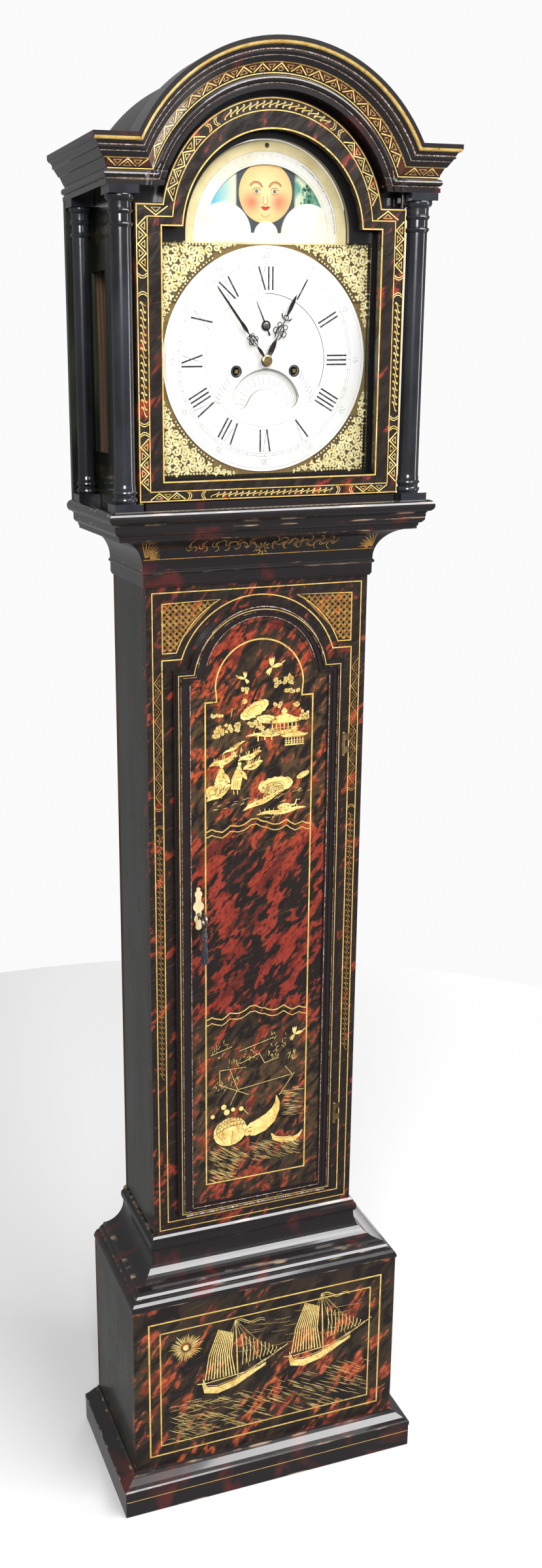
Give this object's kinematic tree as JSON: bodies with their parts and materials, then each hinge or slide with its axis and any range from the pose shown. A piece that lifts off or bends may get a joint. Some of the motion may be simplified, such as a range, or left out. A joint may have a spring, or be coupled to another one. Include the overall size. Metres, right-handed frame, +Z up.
{
  "type": "longcase clock",
  "caption": "Tall arched-hood longcase clock in dark japanned case, with brass moon dial, pendulum, weights, opening doors and sliding hood.",
  "frame": {"origin": "floor level, at the middle of the overall width and depth", "axes": "+X to the right seen from the front, +Y towards the back, +Z up; the dial faces -Y"},
  "size_m": [0.516, 0.25, 2.2179],
  "materials": {
    "lacquer": "glossy black and red japanned lacquer",
    "moulding": "glossy black-brown lacquer",
    "side": "glossy greenish-black lacquer",
    "column": "glossy black lacquer",
    "pine": "plain unfinished",
    "glass": "clear",
    "brass": "polished",
    "silvered": "silvered, satin",
    "painted": "painted",
    "blued_steel": "blued and polished",
    "steel": "polished",
    "iron": "dull",
    "bell_metal": "turned",
    "gut": "twisted gut line",
    "tassel": "dark silk"
  },
  "bodies": {
    "case": {"plinth_moulding": "moulding", "base_front": "lacquer", "base_side_left": "side", "base_side_right": "side", "base_floor": "pine", "base_moulding": "moulding", "trunk_side_left": "side", "trunk_side_right": "side", "trunk_front_frame": "lacquer", "backboard": "pine", "seat_moulding": "moulding", "seat_board": "pine", "trunk_hinge_fixed": "brass", "dial_plate": "brass", "chapter_disc": "silvered", "spandrels": "brass", "movement_front_plate": "brass", "movement_back_plate": "brass", "back_cock": "brass", "bell": "bell_metal", "bell_stand": "steel"},
    "trunk_door_leaf": {"trunk_door": "lacquer", "trunk_hinge_moving": "brass", "lock_case": "steel", "escutcheon": "brass"},
    "bolt": {"lock_bolt": "steel"},
    "key_body": {"key": "steel"},
    "tassel": {"key_tassel": "tassel"},
    "hood": {"hood_base_frame": "moulding", "hood_side_left": "side", "hood_side_right": "side", "hood_side_glass": "glass", "hood_cornice": "moulding", "hood_front_board": "moulding", "hood_roof": "pine", "front_columns": "column", "rear_columns": "column"},
    "hood_door_leaf": {"hood_door": "lacquer", "hood_door_glass": "glass"},
    "moon": {"moon_disc": "painted"},
    "calendar": {"calendar_disc": "silvered"},
    "centre_arbor": {"centre_wheel": "brass", "minute_hand": "blued_steel"},
    "minute_wheel_body": {"minute_wheel": "brass"},
    "hour_pipe": {"hour_wheel": "brass", "hour_hand": "blued_steel"},
    "great_wheel_body": {"great_wheel": "brass"},
    "going_barrel_body": {"going_barrel": "brass"},
    "third_arbor": {"third_wheel": "brass"},
    "escape_arbor": {"escape_wheel": "brass", "seconds_hand": "blued_steel"},
    "anchor_body": {"anchor": "steel"},
    "pendulum": {"pendulum_rod": "steel", "pendulum_bob": "brass"},
    "strike_barrel_body": {"strike_barrel": "brass"},
    "hammer_body": {"hammer": "steel"},
    "going_weight_body": {"weight_going": "iron", "line_going": "gut"},
    "striking_weight_body": {"weight_striking": "iron", "line_striking": "gut"}
  },
  "joints": [
    {"name": "hood_slide", "type": "slide", "parent": "case", "child": "hood", "axis": [0, -1, 0], "range_m": [0, 0.3]},
    {"name": "hood_door_hinge", "type": "hinge", "parent": "hood", "child": "hood_door_leaf", "pos_m": [0.19, -0.075, 1.83], "axis": [0, 0, 1], "range_deg": [0, 100]},
    {"name": "trunk_door_hinge", "type": "hinge", "parent": "case", "child": "trunk_door_leaf", "pos_m": [0.1385, -0.04, 1], "axis": [0, 0, 1], "range_deg": [0, 110]},
    {"name": "key_turn", "type": "hinge", "parent": "trunk_door_leaf", "child": "key_body", "pos_m": [-0.098, -0.035, 1.013], "axis": [0, 1, 0], "range_deg": [0, 90]},
    {"name": "bolt_slide", "type": "slide", "parent": "trunk_door_leaf", "child": "bolt", "axis": [-1, 0, 0], "range_m": [0, 0.0096]},
    {"name": "tassel_swing", "type": "hinge", "parent": "key_body", "child": "tassel", "pos_m": [-0.098, -0.069, 1.0038], "axis": [0, 1, 0], "range_deg": [-100, 100]},
    {"name": "moon_turn", "type": "hinge", "parent": "case", "child": "moon", "pos_m": [0, -0.0462, 1.987], "axis": [0, 1, 0], "continuous": true},
    {"name": "calendar_turn", "type": "hinge", "parent": "case", "child": "calendar", "pos_m": [0, -0.0462, 1.7605], "axis": [0, 1, 0], "continuous": true},
    {"name": "minute_turn", "type": "hinge", "parent": "case", "child": "centre_arbor", "pos_m": [0, -0.035, 1.824], "axis": [0, 1, 0], "continuous": true},
    {"name": "hour_turn", "type": "hinge", "parent": "case", "child": "hour_pipe", "pos_m": [0, -0.035, 1.824], "axis": [0, 1, 0], "continuous": true},
    {"name": "minute_wheel_turn", "type": "hinge", "parent": "case", "child": "minute_wheel_body", "pos_m": [-0.0234, -0.035, 1.8375], "axis": [0, 1, 0], "continuous": true},
    {"name": "great_wheel_turn", "type": "hinge", "parent": "case", "child": "great_wheel_body", "pos_m": [0.043, -0.035, 1.81], "axis": [0, 1, 0], "continuous": true},
    {"name": "third_wheel_turn", "type": "hinge", "parent": "case", "child": "third_arbor", "pos_m": [0.0156, -0.035, 1.8523], "axis": [0, 1, 0], "continuous": true},
    {"name": "escape_wheel_turn", "type": "hinge", "parent": "case", "child": "escape_arbor", "pos_m": [0, -0.035, 1.87], "axis": [0, 1, 0], "continuous": true},
    {"name": "pendulum_swing", "type": "hinge", "parent": "case", "child": "pendulum", "pos_m": [0, 0.0695, 1.893], "axis": [0, 1, 0], "range_deg": [-3, 3]},
    {"name": "anchor_swing", "type": "hinge", "parent": "case", "child": "anchor_body", "pos_m": [0, 0.0695, 1.893], "axis": [0, 1, 0], "range_deg": [-3, 3]},
    {"name": "hammer_swing", "type": "hinge", "parent": "case", "child": "hammer_body", "pos_m": [-0.07, 0.007, 1.899], "axis": [0, 1, 0], "range_deg": [-12, 0], "stiffness_Nm_per_rad": 0.15},
    {"name": "going_weight_slide", "type": "slide", "parent": "case", "child": "going_weight_body", "axis": [0, 0, 1], "range_m": [-0.75, 0.25], "deforming": ["line_going"]},
    {"name": "going_barrel_turn", "type": "hinge", "parent": "case", "child": "going_barrel_body", "pos_m": [0.043, -0.035, 1.81], "axis": [0, 1, 0], "range_deg": [-3600, 1200]},
    {"name": "striking_weight_slide", "type": "slide", "parent": "case", "child": "striking_weight_body", "axis": [0, 0, 1], "range_m": [-0.75, 0.25], "deforming": ["line_striking"]},
    {"name": "strike_barrel_turn", "type": "hinge", "parent": "case", "child": "strike_barrel_body", "pos_m": [-0.043, -0.035, 1.81], "axis": [0, 1, 0], "range_deg": [-3600, 1200]}
  ],
  "couplings": [
    {"joint": "bolt_slide", "follows": "key_turn", "m_per_rad": 0.00509},
    {"joint": "hour_turn", "follows": "minute_turn", "ratio": 0.083333},
    {"joint": "minute_wheel_turn", "follows": "minute_turn", "ratio": -1},
    {"joint": "great_wheel_turn", "follows": "minute_turn", "ratio": -0.083333},
    {"joint": "third_wheel_turn", "follows": "minute_turn", "ratio": -7.5},
    {"joint": "escape_wheel_turn", "follows": "minute_turn", "ratio": 60},
    {"joint": "anchor_swing", "follows": "pendulum_swing", "ratio": 1},
    {"joint": "going_barrel_turn", "follows": "going_weight_slide", "rad_per_m": 83.333},
    {"joint": "strike_barrel_turn", "follows": "striking_weight_slide", "rad_per_m": 83.333}
  ]
}
